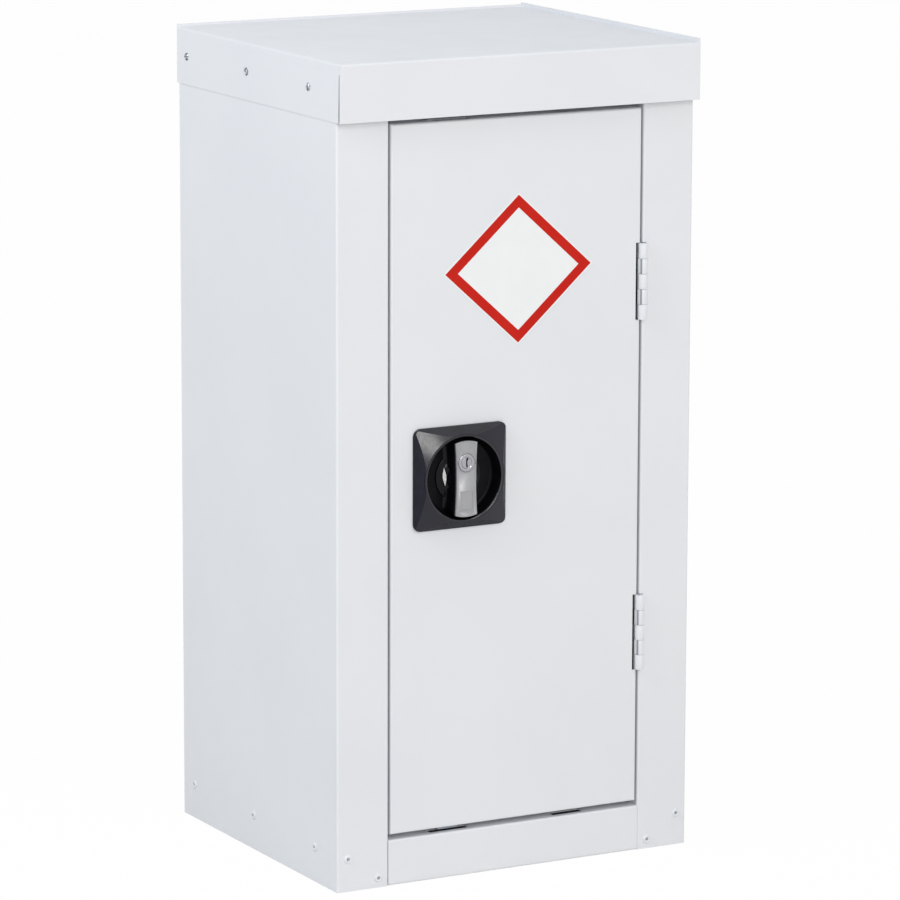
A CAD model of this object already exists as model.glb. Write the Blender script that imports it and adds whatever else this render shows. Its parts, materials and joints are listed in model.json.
"""A single-door steel safety cupboard: finishes, mouldings, rivets, light and camera.

Everything is in metres, in the frame of the solids: +Z up, the door faces -Y.
"""
import json
import math

import bmesh
import bpy
from mathutils import Matrix, Vector


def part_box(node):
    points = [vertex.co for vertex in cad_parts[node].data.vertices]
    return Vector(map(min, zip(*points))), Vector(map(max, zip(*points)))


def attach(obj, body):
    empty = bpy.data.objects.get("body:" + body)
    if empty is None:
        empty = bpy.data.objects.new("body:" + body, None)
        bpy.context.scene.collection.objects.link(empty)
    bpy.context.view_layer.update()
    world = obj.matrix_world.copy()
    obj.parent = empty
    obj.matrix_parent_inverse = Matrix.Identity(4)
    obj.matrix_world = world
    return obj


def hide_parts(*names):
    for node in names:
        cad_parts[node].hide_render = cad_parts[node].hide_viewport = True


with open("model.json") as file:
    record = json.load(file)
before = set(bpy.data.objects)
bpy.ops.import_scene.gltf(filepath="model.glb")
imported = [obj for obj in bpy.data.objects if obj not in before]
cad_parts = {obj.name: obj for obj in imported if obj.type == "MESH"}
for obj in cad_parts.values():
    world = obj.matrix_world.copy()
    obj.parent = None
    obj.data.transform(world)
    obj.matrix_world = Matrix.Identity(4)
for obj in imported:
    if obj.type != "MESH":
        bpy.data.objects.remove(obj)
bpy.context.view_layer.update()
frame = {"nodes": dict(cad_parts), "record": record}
nodes = frame["nodes"]
scene = bpy.context.scene

# The camera: eye, and the way it looks (degrees), from the photograph's vanishing lines
EYE = Vector((-2.17918, -4.03244, 1.25628))
YAW, PITCH, ROLL = 28.5815, 11.214, 0.17
LENS = 209.667
SENSOR = 36.0

# The handle's axis on the door's face, and the lock's rise above it
HANDLE = Vector((-0.0567, -0.1525, 0.3565))
LOCK_RISE = 0.0142

# The surround: its rounded square plate, facets and dome, the bowl in it, and how finely they turn
PLATE_HALF = 0.045
PLATE_CORNER = 0.007
PLATE_EDGE = 0.002
PLATE_RIM = 0.011
DOME_CORNER = 0.0022
FACET_INSET = 0.0076
FACET_LEAST = 0.0004
BOWL_RADIUS = 0.036
BOWL_FOOT = 0.034
BOWL_FLOOR = 0.002
BOWL_BACK = 0.004
RIM_BAND = 0.0388
BOWL_MIDDLE = 0.012
FOOT_TURN = 0.003
RIM_FILLET = 0.0015
EDGE_ROUND = 0.0003
SPINDLE_BORE = 0.00606
PLATE_STEPS = 360
FOOT_STEPS = 6
RIM_STEPS = 8
DOME_STEPS = 8

# The places of the surround's finishes in its list of materials
ON_DOME, IN_BOWL, ON_EDGE, ON_FACET, ON_TOP_FACET = range(5)

# The sticker: its middle, its half diagonals, and how far out its white field and red band reach
STICKER = Vector((0.001, -0.1525, 0.533))
STICKER_HALF_WIDTH = 0.0735
STICKER_HALF_HEIGHT = 0.066
WHITE_FIELD = 0.807
RED_BAND = 0.9755

# The hinge pins' axis, and by it the dark line of each roll and the bare strip of the leaf
HINGE_X, HINGE_Y = 0.1247, -0.154
ROLL_LINE_X = -0.0033
ROLL_LINE_FADE = (0.0003, 0.0008)
ROLL_LINE_FRONT = (-0.0006, 0)
ROLL_LINE_SHARE = 0.8
BARE_FROM, BARE_TO, BARE_LEFT_OF = 0.0022, 0.0085, -0.0036

# The grip: height and half length of its bar, half width at the waist, what the ends add to it,
# and the share of the length that its flanks take
GRIP_TOP = 0.0122
GRIP_END = 0.0326
GRIP_WAIST = 0.0093
GRIP_SWELL = 0.0012
GRIP_FLANK = 0.95
GRIP_FOOT = -BOWL_FLOOR + 0.0005
GRIP_STEPS = 24
HUB_RADIUS, HUB_EDGE, HUB_SHOULDER = 0.0222, 0.0007, -0.0012
HUB_STEPS = 72

# The flats on the hub: their size, how pointed they are, and the right one's facing and middle
FLAT_HALF_TALL, FLAT_HALF_WIDE, FLAT_THICK = 0.0082, 0.0016, 0.0045
FLAT_POINTED = 1.3
FLAT_FACING = (0.225, -0.937, 0.267)
FLAT_MIDDLE = (0.0152, -0.0023, 0.0012)

# The insert's front before the door, then the width and sink of its border and of the step inside
INSERT_FRONT = 0.014
INSERT_BORDER = ((0.0009, 0), (0.0003, -0.0004))

# A blind rivet's head in section: radius and height as shares, with the mandrel in its dish
RIVET_PROFILE = ((0.0, 0.30), (0.20, 0.30), (0.24, 0.14), (0.30, 0.14), (0.36, 0.62), (0.44, 0.86),
                 (0.56, 0.98), (0.70, 0.95), (0.84, 0.76), (0.95, 0.42), (1.0, 0.0))
RIVET_STEPS = 28

# Radius and height of the rivets' heads and stems
PAINTED_HEAD, PAINTED_STEM = (0.004, 0.0015), (0.0011, 0.0012)
LID_HEAD, BACK_HEAD = (0.0036, 0.0013), (0.0028, 0.0011)

# The planes that carry the rivets, and the rivets' places on them
SIDE, FACE_Y, BACK_Y = 0.175, -0.1525, 0.1525
LID_SIDE = 0.176
FRONT_RIVETS = ((-0.1647, 0.029), (0.1647, 0.029), (-0.135, 0.0086), (0.135, 0.0086))
BASE_RIVET_Z, BASE_RIVET_DEPTHS = 0.0314, (0.042, 0.1614, 0.2808)
LID_RIVET_Z, LID_RIVET_DEPTHS = 0.695, (0.0493, 0.1676, 0.2859)

# Paint tones, light and dark, and the steel where there is no paint
COAT = ((0.775, 0.785, 0.815), (0.755, 0.768, 0.80))
INNER_COAT = ((0.74, 0.75, 0.77), (0.72, 0.735, 0.76))
STEM_COAT = ((0.42, 0.43, 0.45), (0.36, 0.37, 0.39))
BARE_STEEL = (0.035, 0.035, 0.04)
LEAF_STEEL = (0.05, 0.052, 0.06)
ROLL_DARK = (0.13, 0.13, 0.17)
PAINT_GLOSS = 0.42
ORANGE_PEEL = 850

# The part of its range that a noise pattern mostly fills
NOISE_RANGE = (0.3, 0.7)

# Where a fold hides the steel from the spray: under a height, between two depths
RAIL_BARE = (0.0398, -0.1513, 0)
TRAY_BARE = (0.0406, -0.16, -0.12)

# The studio: what the world gives as light, the floor's own colour, and how bright both look
WORLD_COLOUR, WORLD_LIGHT = (0.965, 0.985, 1.0, 1), 0.54
FLOOR_COLOUR = (0.76, 0.748, 0.725, 1)
FLOOR_SIZE, FLOOR_DROP = 14, 0.0005
SEEN_WHITE = 0.98
LAMP_TARGET = Vector((0, 0, 0.36))
# name, place, width, watts, colour
LAMPS = (("key", (0.8, -3.0, 2.35), 0.8, 18.5, (1.0, 0.99, 0.975)),
         ("soft", (-0.1, -4.1, 1.5), 0.9, 33, (1.0, 0.985, 0.96)),
         ("low", (-1.6, -4.3, 0.7), 2.0, 13, (1.0, 0.975, 0.935)),
         ("fill", (-2.0, -0.3, 1.95), 1.0, 26, (0.90, 0.952, 1.0)))

# How near points merge, and the angles under which faces are one and over which edges are sharp
MERGE = 2e-6
FLAT_ANGLE = math.radians(0.5)
SHARP_ANGLE = math.radians(32)


class Finish:
    """A surface being made: its shader, and the pattern nodes that lead to it."""

    def __init__(self, name, colour, roughness, metallic=0.0):
        self.material = bpy.data.materials.new(name)
        self.material.use_nodes = True
        self.tree = self.material.node_tree
        self.shader = self.tree.nodes["Principled BSDF"]
        self.shader.inputs["Base Color"].default_value = (*colour, 1)
        self.shader.inputs["Roughness"].default_value = roughness
        self.shader.inputs["Metallic"].default_value = metallic
        self.place = self.node("ShaderNodeTexCoord").outputs["Object"]

    def node(self, kind, **settings):
        made = self.tree.nodes.new(kind)
        for key, value in settings.items():
            setattr(made, key, value)
        return made

    def join(self, source, target):
        if isinstance(source, bpy.types.NodeSocket):
            self.tree.links.new(source, target)
        else:
            target.default_value = source

    def mapped(self, centre=(0, 0, 0), scale=(1, 1, 1)):
        """The object coordinates, moved to a centre and stretched."""
        made = self.node("ShaderNodeMapping", vector_type="TEXTURE")
        made.inputs["Location"].default_value = centre
        made.inputs["Scale"].default_value = scale
        self.join(self.place, made.inputs["Vector"])
        return made.outputs["Vector"]

    def noise(self, scale, detail, rough=0.5, vector=None):
        made = self.node("ShaderNodeTexNoise")
        made.inputs["Scale"].default_value = scale
        made.inputs["Detail"].default_value = detail
        made.inputs["Roughness"].default_value = rough
        self.join(vector or self.place, made.inputs["Vector"])
        return made.outputs["Fac"]

    def span(self, value, low, high, out_low, out_high):
        """A value taken from one range to another, and held at its ends."""
        made = self.node("ShaderNodeMapRange")
        sockets = ("From Min", "From Max", "To Min", "To Max")
        for socket, number in zip(sockets, (low, high, out_low, out_high)):
            made.inputs[socket].default_value = number
        self.join(value, made.inputs["Value"])
        return made.outputs["Result"]

    def compute(self, operation, first, second=0.0):
        made = self.node("ShaderNodeMath", operation=operation)
        self.join(first, made.inputs[0])
        self.join(second, made.inputs[1])
        return made.outputs["Value"]

    def inside(self, *tests):
        """1 where every test holds: each is (value, "GREATER_THAN" or "LESS_THAN", limit)."""
        held = None
        for value, side, limit in tests:
            here = self.compute(side, value, limit)
            held = here if held is None else self.compute("MULTIPLY", held, here)
        return held

    def blend(self, share, first, second):
        """A colour between two, by a share."""
        made = self.node("ShaderNodeMix", data_type="RGBA")
        self.join(share, made.inputs["Factor"])
        for socket, colour in (("A", first), ("B", second)):
            target = [s for s in made.inputs if s.name == socket and s.type == "RGBA"][0]
            self.join(colour if isinstance(colour, bpy.types.NodeSocket) else (*colour, 1), target)
        return [s for s in made.outputs if s.type == "RGBA"][0]

    def mottled(self, pattern, first, second, low=0.35, high=0.65):
        """A colour between two, by the middle of a pattern's range."""
        return self.blend(self.span(pattern, low, high, 0, 1), first, second)

    def colour(self, source):
        self.join(source, self.shader.inputs["Base Color"])

    def roughness(self, pattern, smooth, rough):
        spread = self.span(pattern, *NOISE_RANGE, smooth, rough)
        self.join(spread, self.shader.inputs["Roughness"])

    def gloss(self, level):
        self.shader.inputs["Specular IOR Level"].default_value = level

    def parts(self, vector):
        made = self.node("ShaderNodeSeparateXYZ")
        self.join(vector, made.inputs["Vector"])
        return made.outputs

    def relief(self, height, depth, strength):
        """Bump of a given depth in metres, on top of any relief added before."""
        made = self.node("ShaderNodeBump")
        made.inputs["Strength"].default_value = strength
        made.inputs["Distance"].default_value = depth
        self.join(height, made.inputs["Height"])
        before = self.shader.inputs["Normal"].links
        if before:
            self.join(before[0].from_socket, made.inputs["Normal"])
        self.join(made.outputs["Normal"], self.shader.inputs["Normal"])


def powder_coat(name, tones, bare=None):
    """Baked powder paint: even, faintly blotched, with the fine orange peel of the coat.

    Where a fold hides the steel from the spray it stays bare and dark: under a height, between
    two depths.
    """
    light, dark = tones
    paint = Finish(name, light, 0.42)
    paint.gloss(PAINT_GLOSS)
    coat = paint.mottled(paint.noise(7, 3), light, dark)
    if bare:
        under, behind, before = bare
        at = paint.parts(paint.place)
        hidden = paint.inside((at["Z"], "LESS_THAN", under), (at["Y"], "GREATER_THAN", behind),
                              (at["Y"], "LESS_THAN", before))
        coat = paint.blend(hidden, coat, BARE_STEEL)
    paint.colour(coat)
    paint.roughness(paint.noise(35, 3), 0.38, 0.47)
    paint.relief(paint.noise(ORANGE_PEEL, 2), 0.00002, 0.5)
    paint.relief(paint.noise(120, 1), 0.00003, 0.4)
    return paint.material


def zinc_plate(name, bright, dull, metallic):
    """Blue-bright zinc plate: cloudy spangle, and the fine lines of the rolled strip."""
    zinc = Finish(name, bright, 0.34, metallic)
    lines = zinc.noise(900, 2, 0.5, zinc.mapped(scale=(1, 1, 12)))
    zinc.colour(zinc.mottled(zinc.noise(160, 4, 0.6), bright, dull))
    zinc.roughness(lines, 0.28, 0.44)
    zinc.relief(lines, 0.00001, 0.4)
    return zinc.material


def black_moulding(name, dark, light, gloss, smooth, rough):
    """Black glass-filled nylon: fine spark-eroded grain with a soft gloss."""
    nylon = Finish(name, dark, smooth)
    nylon.gloss(gloss)
    nylon.colour(nylon.mottled(nylon.noise(90, 3), dark, light))
    nylon.roughness(nylon.noise(400, 3), smooth, rough)
    nylon.relief(nylon.noise(1500, 2), 0.00001, 0.15)
    return nylon.material


def hinge_paint(name):
    """The cupboard's paint on the door's knuckles, with the dark line where each roll turns in.

    In the slot behind the door's face the leaf is bare: the paint doesn't reach there.
    """
    light, dark = COAT
    paint = Finish(name, light, 0.42)
    paint.gloss(PAINT_GLOSS)
    at = paint.parts(paint.mapped(centre=(HINGE_X, HINGE_Y, 0)))
    aside = paint.compute("ABSOLUTE", paint.compute("ADD", at["X"], -ROLL_LINE_X))
    line = paint.compute("MULTIPLY", paint.span(aside, *ROLL_LINE_FADE, 1, 0),
                         paint.span(at["Y"], *ROLL_LINE_FRONT, 1, 0))
    coat = paint.mottled(paint.noise(60, 3), light, dark)
    lined = paint.blend(paint.compute("MULTIPLY", line, ROLL_LINE_SHARE), coat, ROLL_DARK)
    bare = paint.inside((at["Y"], "GREATER_THAN", BARE_FROM), (at["Y"], "LESS_THAN", BARE_TO),
                        (at["X"], "LESS_THAN", BARE_LEFT_OF))
    paint.colour(paint.blend(bare, lined, LEAF_STEEL))
    paint.roughness(paint.noise(200, 3), 0.36, 0.46)
    paint.relief(paint.noise(ORANGE_PEEL, 2), 0.00002, 0.5)
    return paint.material


def grey_insert(name):
    """The silver-grey lacquered insert of the grip: smooth, with a fine metallic grain."""
    lacquer = Finish(name, (0.40, 0.40, 0.42), 0.36, 0.2)
    flakes = lacquer.noise(3000, 2, 0.7)
    lacquer.colour(lacquer.mottled(flakes, (0.32, 0.32, 0.34), (0.39, 0.39, 0.41), 0.4, 0.6))
    lacquer.roughness(lacquer.noise(220, 3), 0.32, 0.42)
    lacquer.relief(flakes, 0.00001, 0.3)
    return lacquer.material


def nickel(name):
    """Nickel plate of the lock, turned in rings about the lock's axis."""
    plate = Finish(name, (0.40, 0.40, 0.43), 0.24, 0.9)
    rings = plate.node("ShaderNodeTexWave", wave_type="RINGS", rings_direction="Y")
    rings.inputs["Scale"].default_value = 900
    rings.inputs["Distortion"].default_value = 0.6
    plate.join(plate.mapped(centre=HANDLE + Vector((0, 0, LOCK_RISE))), rings.inputs["Vector"])
    plate.roughness(plate.noise(300, 3), 0.16, 0.3)
    plate.relief(rings.outputs["Fac"], 0.000006, 0.4)
    return plate.material


def rivet_metal(name):
    """Bare blind-rivet heads, dulled, with darker pits."""
    metal = Finish(name, (0.34, 0.35, 0.38), 0.3, 0.9)
    pits = metal.noise(420, 2, 0.6)
    metal.colour(metal.mottled(pits, (0.10, 0.10, 0.13), (0.62, 0.63, 0.67), 0.44, 0.56))
    metal.roughness(pits, 0.25, 0.5)
    metal.relief(pits, 0.00004, 0.5)
    return metal.material


def sticker_print(name):
    """A plain diamond: white vinyl with a red band along its four sides."""
    vinyl = Finish(name, (0.85, 0.86, 0.86), 0.35)
    vinyl.gloss(0.15)
    halves = (STICKER_HALF_WIDTH, 1, STICKER_HALF_HEIGHT)
    at = vinyl.parts(vinyl.mapped(centre=STICKER, scale=halves))
    across, up = (vinyl.compute("ABSOLUTE", at[axis]) for axis in "XZ")
    away = vinyl.compute("ADD", across, up)
    printed = vinyl.inside((away, "GREATER_THAN", WHITE_FIELD), (away, "LESS_THAN", RED_BAND))
    red = vinyl.mottled(vinyl.noise(25, 3), (0.52, 0.009, 0.0036), (0.575, 0.016, 0.0072),
                        *NOISE_RANGE)
    white = vinyl.mottled(vinyl.noise(40, 3), (0.86, 0.87, 0.87), (0.84, 0.855, 0.865),
                          *NOISE_RANGE)
    vinyl.colour(vinyl.blend(printed, white, red))
    vinyl.relief(vinyl.noise(300, 2), 0.00001, 0.3)
    return vinyl.material


PAINT = powder_coat("cupboard paint", COAT)
RAIL_PAINT = powder_coat("rail paint", COAT, RAIL_BARE)
INNER_PAINT = powder_coat("inside paint", INNER_COAT)
TRAY_PAINT = powder_coat("tray paint", INNER_COAT, TRAY_BARE)
STEM_PAINT = powder_coat("stem paint", STEM_COAT)
ZINC = zinc_plate("zinc plate", (0.60, 0.67, 0.78), (0.48, 0.54, 0.64), 0.75)
BOLT_ZINC = zinc_plate("bolt zinc", (0.70, 0.77, 0.86), (0.60, 0.67, 0.77), 0.3)
BLACK = black_moulding("black nylon", (0.005, 0.005, 0.012), (0.007, 0.007, 0.016),
                       0.42, 0.2, 0.25)
FACET_BLACK = black_moulding("facet black", (0.014, 0.014, 0.021), (0.019, 0.019, 0.027),
                             0.1, 0.4, 0.5)
TOP_FACET_BLACK = black_moulding("top facet black", (0.014, 0.014, 0.018), (0.019, 0.019, 0.024),
                                 0.42, 0.35, 0.45)
BOWL_BLACK = black_moulding("bowl black", (0.003, 0.003, 0.004), (0.005, 0.005, 0.007),
                            0.08, 0.3, 0.42)
EDGE_BLACK = black_moulding("edge black", (0.006, 0.006, 0.009), (0.009, 0.009, 0.012),
                            0.64, 0.12, 0.2)
GRIP_BLACK = black_moulding("grip black", (0.003, 0.003, 0.005), (0.005, 0.005, 0.008),
                            0.16, 0.14, 0.22)
HINGE_PAINT = hinge_paint("hinge paint")
GREY = grey_insert("grey insert")
NICKEL = nickel("lock nickel")
RIVET = rivet_metal("rivet metal")
VINYL = sticker_print("sticker vinyl")

FINISHES = {
    "white_paint": PAINT, "zinc_steel": ZINC, "black_plastic": BLACK, "grey_plastic": GREY,
    "lock_chrome": NICKEL, "rivet_steel": RIVET, "sticker_vinyl": VINYL,
}
INNER_NODES = ("back_panel", "base_tray", "shelf", "door_stiffener")


def paint_solids():
    """Gives every carried-over solid its finish, from the slot that the record names."""
    for row in frame["record"]["subparts"]:
        solid = nodes[row["node"]]
        chosen = INNER_PAINT if row["node"] in INNER_NODES else FINISHES[row["material_slot"]]
        chosen = {"bottom_rail": RAIL_PAINT, "base_tray": TRAY_PAINT}.get(row["node"], chosen)
        solid.data.materials.clear()
        solid.data.materials.append(chosen)


def slot_of(node):
    return [row["material_slot"] for row in frame["record"]["subparts"] if row["node"] == node][0]


def body_of(node):
    bodies = frame["record"]["behaviour"]["bodies"]
    return [name for name, held in bodies.items() if node in held][0]


def finished_mesh(piece):
    """Applies every modifier of a piece and leaves it a plain mesh."""
    view = bpy.context.evaluated_depsgraph_get()
    plain = bpy.data.meshes.new_from_object(piece.evaluated_get(view))
    piece.modifiers.clear()
    piece.data = plain


def linked(name, mesh):
    """A new object of a mesh, in the scene."""
    made = bpy.data.objects.new(name, mesh)
    scene.collection.objects.link(made)
    return made


def merged(node):
    """A solid's mesh to work on, its points merged and its flat faces joined."""
    work = bmesh.new()
    work.from_mesh(nodes[node].data)
    bmesh.ops.remove_doubles(work, verts=work.verts, dist=MERGE)
    bmesh.ops.dissolve_limit(work, angle_limit=FLAT_ANGLE, verts=work.verts, edges=work.edges)
    return work


def dressed(node, name, bevel, material=None):
    """A copy of a solid with its edges broken, in place of the solid."""
    mesh = bpy.data.meshes.new(name)
    work = merged(node)
    work.to_mesh(mesh)
    work.free()
    mesh.materials.append(material or FINISHES[slot_of(node)])
    piece = linked(name, mesh)
    edge = piece.modifiers.new("broken edges", "BEVEL")
    edge.width = bevel
    edge.segments = 2
    edge.limit_method = "ANGLE"
    edge.angle_limit = SHARP_ANGLE
    finished_mesh(piece)
    piece.data.shade_smooth()
    piece.data.set_sharp_from_angle(angle=SHARP_ANGLE)
    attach(piece, body_of(node))
    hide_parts(node)


def piece_of(work, name, node, materials):
    """Turns a finished bmesh into a piece that rides with its solid and stands for it."""
    mesh = bpy.data.meshes.new(name)
    bmesh.ops.recalc_face_normals(work, faces=work.faces)
    work.to_mesh(mesh)
    work.free()
    for material in materials:
        mesh.materials.append(material)
    piece = linked(name, mesh)
    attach(piece, body_of(node))
    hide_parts(node)
    return piece


def by_handle(across, out, up):
    """A point by the handle's axis: to the right of it, out of the door's face, and above it."""
    return (HANDLE.x + across, HANDLE.y - out, HANDLE.z + up)


def bands(work, rings):
    """Quads all round between each ring of points and the next."""
    made = []
    for inner, outer in zip(rings, rings[1:]):
        for i in range(len(inner)):
            j = (i + 1) % len(inner)
            made.append(work.faces.new((inner[i], outer[i], outer[j], inner[j])))
    return made


def smooth(faces):
    for face in faces:
        face.smooth = True


def cap(work, first, last):
    """Closes a stack of rings at both ends, the last one taken the other way round."""
    work.faces.new(first)
    work.faces.new(list(reversed(last)))


def dome_height(radius):
    """How far the surround's dome stands before the door, by the distance from its axis."""
    reach = PLATE_HALF * math.sqrt(2)
    share = (reach - radius) / (reach - RIM_BAND)
    return DOME_CORNER + (PLATE_RIM - DOME_CORNER) * share * (1.05 - 0.05 * share)


def outline_radius(angle):
    """The surround's rounded square, as a radius at an angle."""
    ca, sa = abs(math.cos(angle)), abs(math.sin(angle))
    inner = PLATE_HALF - PLATE_CORNER
    if min(ca, sa) / max(ca, sa) * PLATE_HALF > inner:
        # on the corner's arc, where |p - corner centre| is the corner radius
        half = inner * (ca + sa)
        return half + math.sqrt(max(half * half - 2 * inner * inner + PLATE_CORNER ** 2, 0))
    return PLATE_HALF / max(ca, sa)


def facet_height(radius, angle):
    """The height of the nearer of the four sloping facets."""
    edge = PLATE_HALF - radius * max(abs(math.cos(angle)), abs(math.sin(angle)))
    return PLATE_EDGE + (PLATE_RIM - PLATE_EDGE) * edge / FACET_INSET


def crease_radius(angle):
    """Where the dome meets the facet, or the outline where it never does."""
    low, high = RIM_BAND, outline_radius(angle)
    if facet_height(high, angle) >= dome_height(high):
        return high
    for _ in range(40):
        middle = (low + high) / 2
        if facet_height(middle, angle) > dome_height(middle):
            low = middle
        else:
            high = middle
    return low


def moulding_height(radius, angle):
    """The surround's face: the lower of its dome and its facets."""
    return min(dome_height(radius), facet_height(radius, angle))


def surround():
    """The surround: bowl, flat rim, dome, four facets, rounded square plate and the bowl's back."""
    work = bmesh.new()
    rings = []
    finishes = []
    angles = [math.tau * i / PLATE_STEPS for i in range(PLATE_STEPS)]

    def ring(finish, row):
        """A ring of (angle, radius, height before the door), and the finish of its inner band."""
        rings.append([work.verts.new(by_handle(r * math.cos(a), h, r * math.sin(a)))
                      for a, r, h in row])
        finishes.append(finish)

    def round_ring(finish, radius, height):
        ring(finish, [(a, radius, height) for a in angles])

    turned = BOWL_FOOT - FOOT_TURN
    round_ring(IN_BOWL, SPINDLE_BORE, -BOWL_FLOOR)
    round_ring(IN_BOWL, BOWL_MIDDLE, -BOWL_FLOOR)
    round_ring(IN_BOWL, turned, -BOWL_FLOOR)
    for i in range(1, FOOT_STEPS + 1):
        turn = math.pi / 2 * i / FOOT_STEPS
        round_ring(IN_BOWL, turned + FOOT_TURN * math.sin(turn),
                   -BOWL_FLOOR + FOOT_TURN * (1 - math.cos(turn)))
    # the bowl's wall opens a little on its way out
    round_ring(IN_BOWL, BOWL_RADIUS - 0.0006, PLATE_RIM * 0.5)
    round_ring(IN_BOWL, BOWL_RADIUS - 0.0001, PLATE_RIM - RIM_FILLET)
    for i in range(1, RIM_STEPS + 1):
        turn = math.pi / 2 * i / RIM_STEPS
        round_ring(ON_EDGE, BOWL_RADIUS + RIM_FILLET * (1 - math.cos(turn)),
                   PLATE_RIM - RIM_FILLET * (1 - math.sin(turn)))
    round_ring(ON_DOME, RIM_BAND, PLATE_RIM)

    out = [outline_radius(a) for a in angles]
    crease = [min(crease_radius(a), o - FACET_LEAST) for a, o in zip(angles, out)]
    for i in range(1, DOME_STEPS + 1):
        reach = [RIM_BAND + (c - RIM_BAND) * i / DOME_STEPS for c in crease]
        ring(ON_DOME, [(a, r, moulding_height(r, a)) for a, r in zip(angles, reach)])
    for share in (0.5, 1.0):
        reach = [c + (o - EDGE_ROUND - c) * share for c, o in zip(crease, out)]
        ring(ON_FACET, [(a, r, moulding_height(r, a)) for a, r in zip(angles, reach)])
    tops = [moulding_height(o - EDGE_ROUND, a) for a, o in zip(angles, out)]
    ring(ON_FACET, [(a, o - EDGE_ROUND * 0.3, h - EDGE_ROUND * 0.3)
                    for a, o, h in zip(angles, out, tops)])
    ring(ON_FACET, [(a, o, h - EDGE_ROUND) for a, o, h in zip(angles, out, tops)])
    ring(ON_FACET, [(a, o, 0) for a, o in zip(angles, out)])
    round_ring(ON_DOME, BOWL_RADIUS, 0)
    round_ring(ON_DOME, BOWL_RADIUS, -BOWL_BACK)
    round_ring(ON_DOME, SPINDLE_BORE, -BOWL_BACK)

    faces = bands(work, rings + rings[:1])
    smooth(faces)
    for number, face in enumerate(faces):
        finish = finishes[(number // PLATE_STEPS + 1) % len(rings)]
        upper = math.sin(angles[number % PLATE_STEPS]) > math.sqrt(0.5)
        face.material_index = ON_TOP_FACET if finish == ON_FACET and upper else finish
    piece = piece_of(work, "surround_moulding", "handle_surround",
                     (BLACK, BOWL_BLACK, EDGE_BLACK, FACET_BLACK, TOP_FACET_BLACK))
    piece.data.set_sharp_from_angle(angle=math.radians(17))


def grip():
    """The grip under the grey insert: waisted bar on a flared foot, one loop for each level."""
    # height, what the level is wider, and what it is longer
    levels = ((GRIP_TOP, 0.0, 0.0), (GRIP_TOP - 0.0006, 0.0006, 0.0003),
              (GRIP_TOP - 0.006, 0.0004, -0.0006), (0.002, 0.0012, -0.0016),
              (-0.0002, 0.0026, -0.0028), (GRIP_FOOT, 0.0052, -0.005))
    work = bmesh.new()
    rings = []
    for height, flare, pull in levels:
        tip = GRIP_END + pull
        loop = []
        for side in (1, -1):
            for i in range(-GRIP_STEPS, GRIP_STEPS + 1):
                z = side * tip * GRIP_FLANK * i / GRIP_STEPS
                loop.append((side * (GRIP_WAIST + GRIP_SWELL * (z / GRIP_END) ** 2 + flare), z))
            for i in range(1, 8):
                x = side * (GRIP_WAIST + GRIP_SWELL + flare) * (1 - i / 4)
                loop.append((x, side * math.sqrt(max(tip * tip - x * x, 0)) if abs(x) < tip else 0))
        rings.append([work.verts.new(by_handle(x, height, z)) for x, z in loop])
    smooth(bands(work, rings))
    cap(work, rings[0], rings[-1])
    piece = piece_of(work, "grip_moulding", "handle_grip", (GRIP_BLACK,))
    piece.data.set_sharp_from_angle(angle=math.radians(40))


def grip_hub():
    """The round hub that the grip's bar stands on, turned from a profile of (radius, height)."""
    quarter_turn = [math.pi * i / 8 for i in range(5)]
    profile = [(HUB_RADIUS, GRIP_FOOT)]
    profile += [(HUB_RADIUS - HUB_EDGE * (1 - math.cos(turn)),
                 HUB_SHOULDER + HUB_EDGE * math.sin(turn)) for turn in quarter_turn]
    profile += [(0.0175, -0.0003), (0.0150, 0.0006), (0.0128, 0.0024), (0.0116, 0.0046)]
    angles = [math.tau * i / HUB_STEPS for i in range(HUB_STEPS)]
    work = bmesh.new()
    rings = [[work.verts.new(by_handle(r * math.cos(a), h, r * math.sin(a))) for a in angles]
             for r, h in profile]
    smooth(bands(work, rings))
    cap(work, rings[-1], rings[0])
    piece = piece_of(work, "grip_hub", "handle_grip", (GRIP_BLACK,))
    piece.data.set_sharp_from_angle(angle=math.radians(30))


def grip_flats():
    """A polished flat, shaped like a lens, on each flank of the hub."""
    for side, sign in (("left", -1), ("right", 1)):
        facing = Vector((sign * FLAT_FACING[0], *FLAT_FACING[1:])).normalized()
        up = (Vector((0, 0, 1)) - facing * facing.z).normalized()
        across = up.cross(facing)
        middle = HANDLE + Vector((sign * FLAT_MIDDLE[0], *FLAT_MIDDLE[1:]))
        loop = [(half * FLAT_HALF_WIDE * math.cos(math.pi / 2 * t / 8) ** FLAT_POINTED,
                 half * FLAT_HALF_TALL * t / 8) for half in (1, -1) for t in range(-7, 9)]
        work = bmesh.new()
        rims = [[work.verts.new(middle + across * x + up * z - facing * back) for x, z in loop]
                for back in (0, FLAT_THICK)]
        bands(work, rims)
        cap(work, rims[0], rims[1])
        piece_of(work, "grip_flat_" + side, "handle_grip", (EDGE_BLACK,))


def insert():
    """The grey insert, its field sunk a little inside a raised border."""
    work = merged("grip_face")
    front = HANDLE.y - INSERT_FRONT
    faces = [f for f in work.faces if all(abs(v.co.y - front) < 2e-5 for v in f.verts)]
    for width, sink in INSERT_BORDER:
        bmesh.ops.inset_region(work, faces=faces, thickness=width, depth=sink,
                               use_even_offset=True, use_boundary=True)
    piece = piece_of(work, "grip_insert", "grip_face", (GREY,))
    piece.data.shade_smooth()
    piece.data.set_sharp_from_angle(angle=math.radians(25))


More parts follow.
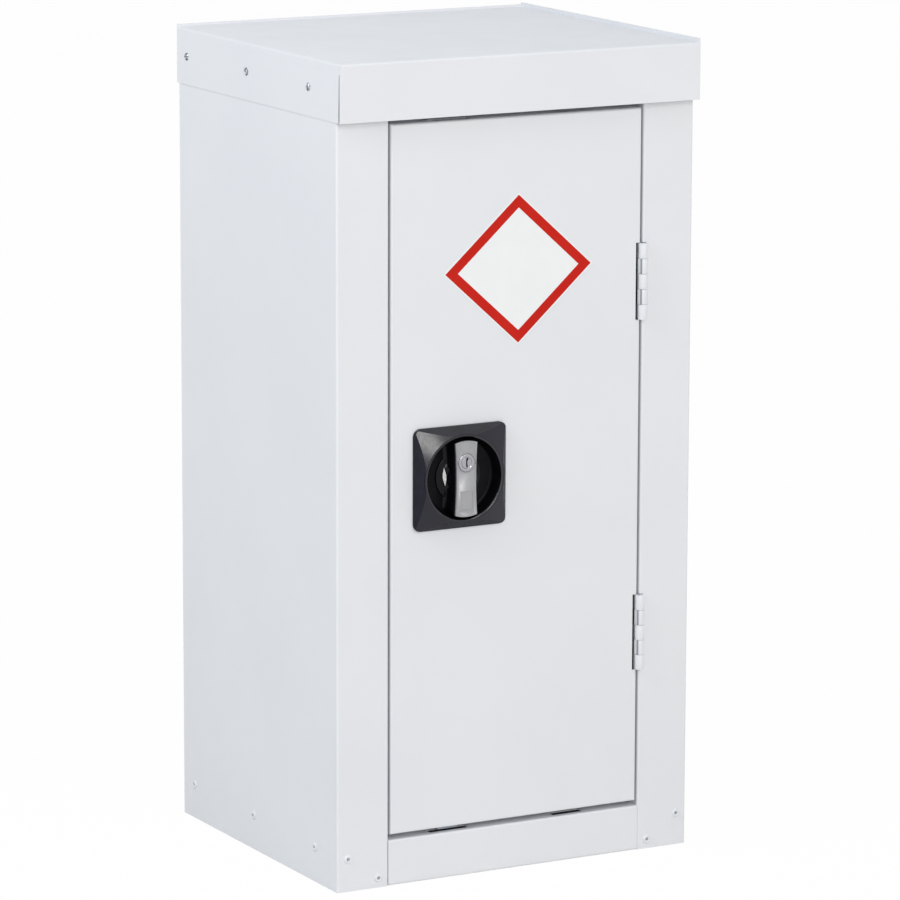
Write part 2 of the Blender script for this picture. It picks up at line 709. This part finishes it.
def rivet_head(radius, height):
    """One rivet head as a mesh, its foot on z = 0."""
    angles = [math.tau * i / RIVET_STEPS for i in range(RIVET_STEPS)]
    profile = [(radius * r, height * h) for r, h in RIVET_PROFILE]
    work = bmesh.new()
    middle = work.verts.new((0, 0, profile[0][1]))
    rings = [[work.verts.new((r * math.cos(a), r * math.sin(a), h)) for a in angles]
             for r, h in profile[1:]]
    for i in range(RIVET_STEPS):
        j = (i + 1) % RIVET_STEPS
        work.faces.new((middle, rings[0][i], rings[0][j]))
        for inner, outer in zip(rings, rings[1:]):
            work.faces.new((inner[i], outer[i], outer[j], inner[j]))
    work.faces.new(list(reversed(rings[-1])))
    mesh = bpy.data.meshes.new("rivet head")
    work.to_mesh(mesh)
    work.free()
    mesh.shade_smooth()
    mesh.set_sharp_from_angle(angle=SHARP_ANGLE)
    return linked("rivet head", mesh)


def rivet_tree(name, head, material):
    """Geometry nodes: a rivet head at each point, its axis along the point's normal."""
    tree = bpy.data.node_groups.new(name, "GeometryNodeTree")
    tree.interface.new_socket("Points", in_out="INPUT", socket_type="NodeSocketGeometry")
    tree.interface.new_socket("Size", in_out="INPUT", socket_type="NodeSocketFloat")
    tree.interface.new_socket("Rivets", in_out="OUTPUT", socket_type="NodeSocketGeometry")
    start = tree.nodes.new("NodeGroupInput")
    end = tree.nodes.new("NodeGroupOutput")
    info = tree.nodes.new("GeometryNodeObjectInfo")
    info.inputs["Object"].default_value = head
    facing = tree.nodes.new("GeometryNodeInputNamedAttribute")
    facing.data_type = "FLOAT_VECTOR"
    facing.inputs["Name"].default_value = "facing"
    turn = tree.nodes.new("FunctionNodeAlignRotationToVector")
    turn.axis = "Z"
    put = tree.nodes.new("GeometryNodeInstanceOnPoints")
    real = tree.nodes.new("GeometryNodeRealizeInstances")
    coat = tree.nodes.new("GeometryNodeSetMaterial")
    coat.inputs["Material"].default_value = material
    for source, target in (
            (facing.outputs["Attribute"], turn.inputs["Vector"]),
            (start.outputs["Points"], put.inputs["Points"]),
            (info.outputs["Geometry"], put.inputs["Instance"]),
            (turn.outputs["Rotation"], put.inputs["Rotation"]),
            (start.outputs["Size"], put.inputs["Scale"]),
            (put.outputs["Instances"], real.inputs["Geometry"]),
            (real.outputs["Geometry"], coat.inputs["Geometry"]),
            (coat.outputs["Geometry"], end.inputs["Rivets"])):
        tree.links.new(source, target)
    return tree


def rivet_row(name, node, places, size, material):
    """The rivets of one solid: places are (point, outward normal), size is (radius, height)."""
    mesh = bpy.data.meshes.new(name)
    mesh.from_pydata([place for place, normal in places], [], [])
    facing = mesh.attributes.new("facing", "FLOAT_VECTOR", "POINT")
    facing.data.foreach_set("vector", [number for place, normal in places for number in normal])
    row = linked(name, mesh)
    head = rivet_head(*size)
    tree = rivet_tree(name + " tree", head, material)
    modifier = row.modifiers.new("rivets", "NODES")
    modifier.node_group = tree
    scale = [item.identifier for item in tree.interface.items_tree if item.name == "Size"][0]
    modifier[scale] = 1.0
    finished_mesh(row)
    if "facing" in row.data.attributes:
        row.data.attributes.remove(row.data.attributes["facing"])
    bpy.data.objects.remove(head)
    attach(row, body_of(node))
    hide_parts(node)


def side_rivets(plane, height, depths):
    """Places and normals of a row of rivets on both sides, by their depths behind the front."""
    return [((sign * plane, FACE_Y + depth, height), (sign, 0, 0))
            for sign in (-1, 1) for depth in depths]


def rivets():
    """The rivets: painted, with darker stems, low down, and bare on the lid and the back."""
    front = [((x, FACE_Y, z), (0, -1, 0)) for x, z in FRONT_RIVETS]
    base = side_rivets(SIDE, BASE_RIVET_Z, BASE_RIVET_DEPTHS)
    lid = side_rivets(LID_SIDE, LID_RIVET_Z, LID_RIVET_DEPTHS)
    low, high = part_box("back_rivets")
    inset = BACK_HEAD[0]
    heights = (low.z + inset, (low.z + high.z) / 2, high.z - inset)
    back = [((x, BACK_Y, z), (0, 1, 0)) for x in (low.x + inset, high.x - inset) for z in heights]
    rivet_row("front_rivet_heads", "front_rivets", front, PAINTED_HEAD, PAINT)
    rivet_row("front_rivet_stems", "front_rivets", front, PAINTED_STEM, STEM_PAINT)
    rivet_row("base_rivet_heads", "base_rivets", base, PAINTED_HEAD, PAINT)
    rivet_row("base_rivet_stems", "base_rivets", base, PAINTED_STEM, STEM_PAINT)
    rivet_row("lid_rivet_heads", "lid_rivets", lid, LID_HEAD, RIVET)
    rivet_row("back_rivet_heads", "back_rivets", back, BACK_HEAD, RIVET)


def seen_share(tree):
    """1 for what the eye sees, straight, by reflection or through glass."""
    path = tree.nodes.new("ShaderNodeLightPath")
    share = path.outputs["Is Camera Ray"]
    for ray in ("Is Glossy Ray", "Is Transmission Ray"):
        either = tree.nodes.new("ShaderNodeMath")
        either.operation = "MAXIMUM"
        tree.links.new(share, either.inputs[0])
        tree.links.new(path.outputs[ray], either.inputs[1])
        share = either.outputs["Value"]
    return share


def two_looks(tree, share, lit, seen, out):
    """One shader for the light in the scene, and by a share another for the eye."""
    mix = tree.nodes.new("ShaderNodeMixShader")
    for source, socket in zip((share, lit, seen), mix.inputs):
        tree.links.new(source, socket)
    tree.links.new(mix.outputs["Shader"], out.inputs["Surface"])


def world_light():
    """Even bluish light from all round; the eye sees plain white."""
    world = bpy.data.worlds.new("studio")
    scene.world = world
    world.use_nodes = True
    tree = world.node_tree
    tree.nodes.clear()
    out = tree.nodes.new("ShaderNodeOutputWorld")
    looks = []
    for colour, strength in ((WORLD_COLOUR, WORLD_LIGHT), ((1, 1, 1, 1), SEEN_WHITE)):
        look = tree.nodes.new("ShaderNodeBackground")
        look.inputs["Color"].default_value = colour
        look.inputs["Strength"].default_value = strength
        looks.append(look.outputs["Background"])
    two_looks(tree, seen_share(tree), *looks, out)


def floor():
    """A pale floor that bounces light; the eye sees it white, with the faintest trace of shadow."""
    bpy.ops.mesh.primitive_plane_add(size=FLOOR_SIZE, location=(0, 0, -FLOOR_DROP))
    plane = bpy.context.object
    plane.name = "floor"
    pale = bpy.data.materials.new("floor")
    pale.use_nodes = True
    tree = pale.node_tree
    tree.nodes.clear()
    out = tree.nodes.new("ShaderNodeOutputMaterial")
    matt = tree.nodes.new("ShaderNodeBsdfDiffuse")
    matt.inputs["Color"].default_value = FLOOR_COLOUR
    glow = tree.nodes.new("ShaderNodeEmission")
    share = tree.nodes.new("ShaderNodeMath")
    share.operation = "MULTIPLY"
    share.inputs[1].default_value = SEEN_WHITE
    tree.links.new(seen_share(tree), share.inputs[0])
    two_looks(tree, share.outputs["Value"], matt.outputs["BSDF"], glow.outputs["Emission"], out)
    plane.data.materials.append(pale)


def lamps():
    """Four soft square lamps, in front, to the left and above, all turned to the cupboard."""
    for name, place, size, power, colour in LAMPS:
        lamp = bpy.data.lights.new(name, "AREA")
        lamp.shape = "SQUARE"
        lamp.size = size
        lamp.energy = power
        lamp.color = colour
        holder = bpy.data.objects.new(name, lamp)
        scene.collection.objects.link(holder)
        holder.location = place
        holder.rotation_euler = (LAMP_TARGET - Vector(place)).to_track_quat("-Z", "Y").to_euler()


def camera():
    """The photograph's camera, turned by its angles about the eye."""
    yaw, pitch, roll = (math.radians(angle) for angle in (YAW, PITCH, ROLL))
    ahead = Vector((math.sin(yaw) * math.cos(pitch), math.cos(yaw) * math.cos(pitch),
                    -math.sin(pitch)))
    level = Vector((math.cos(yaw), -math.sin(yaw), 0))
    upward = level.cross(ahead)
    right = math.cos(roll) * level + math.sin(roll) * upward
    top = math.cos(roll) * upward - math.sin(roll) * level
    lens = bpy.data.cameras.new("camera")
    lens.sensor_width = SENSOR
    lens.lens = LENS
    lens.clip_end = 50
    eye = bpy.data.objects.new("camera", lens)
    scene.collection.objects.link(eye)
    eye.matrix_world = Matrix.Translation(EYE) @ Matrix((right, top, -ahead)).transposed().to_4x4()
    scene.camera = eye


paint_solids()
surround()
grip()
grip_hub()
grip_flats()
insert()
dressed("lock_cylinder", "lock_barrel", bevel=0.0005)
dressed("key_plug", "key_barrel_front", bevel=0.0002)
for hinge in ("lower_hinge", "upper_hinge"):
    dressed(hinge + "_frame_leaf", hinge + "_frame_knuckles", bevel=0.0003)
    dressed(hinge + "_door_leaf", hinge + "_door_knuckles", bevel=0.0003, material=HINGE_PAINT)
dressed("top_bolt", "top_bolt_bar", bevel=0.0005, material=BOLT_ZINC)
dressed("bottom_bolt", "bottom_bolt_bar", bevel=0.0005, material=BOLT_ZINC)
rivets()
world_light()
floor()
lamps()
camera()
scene.view_settings.view_transform = "Standard"
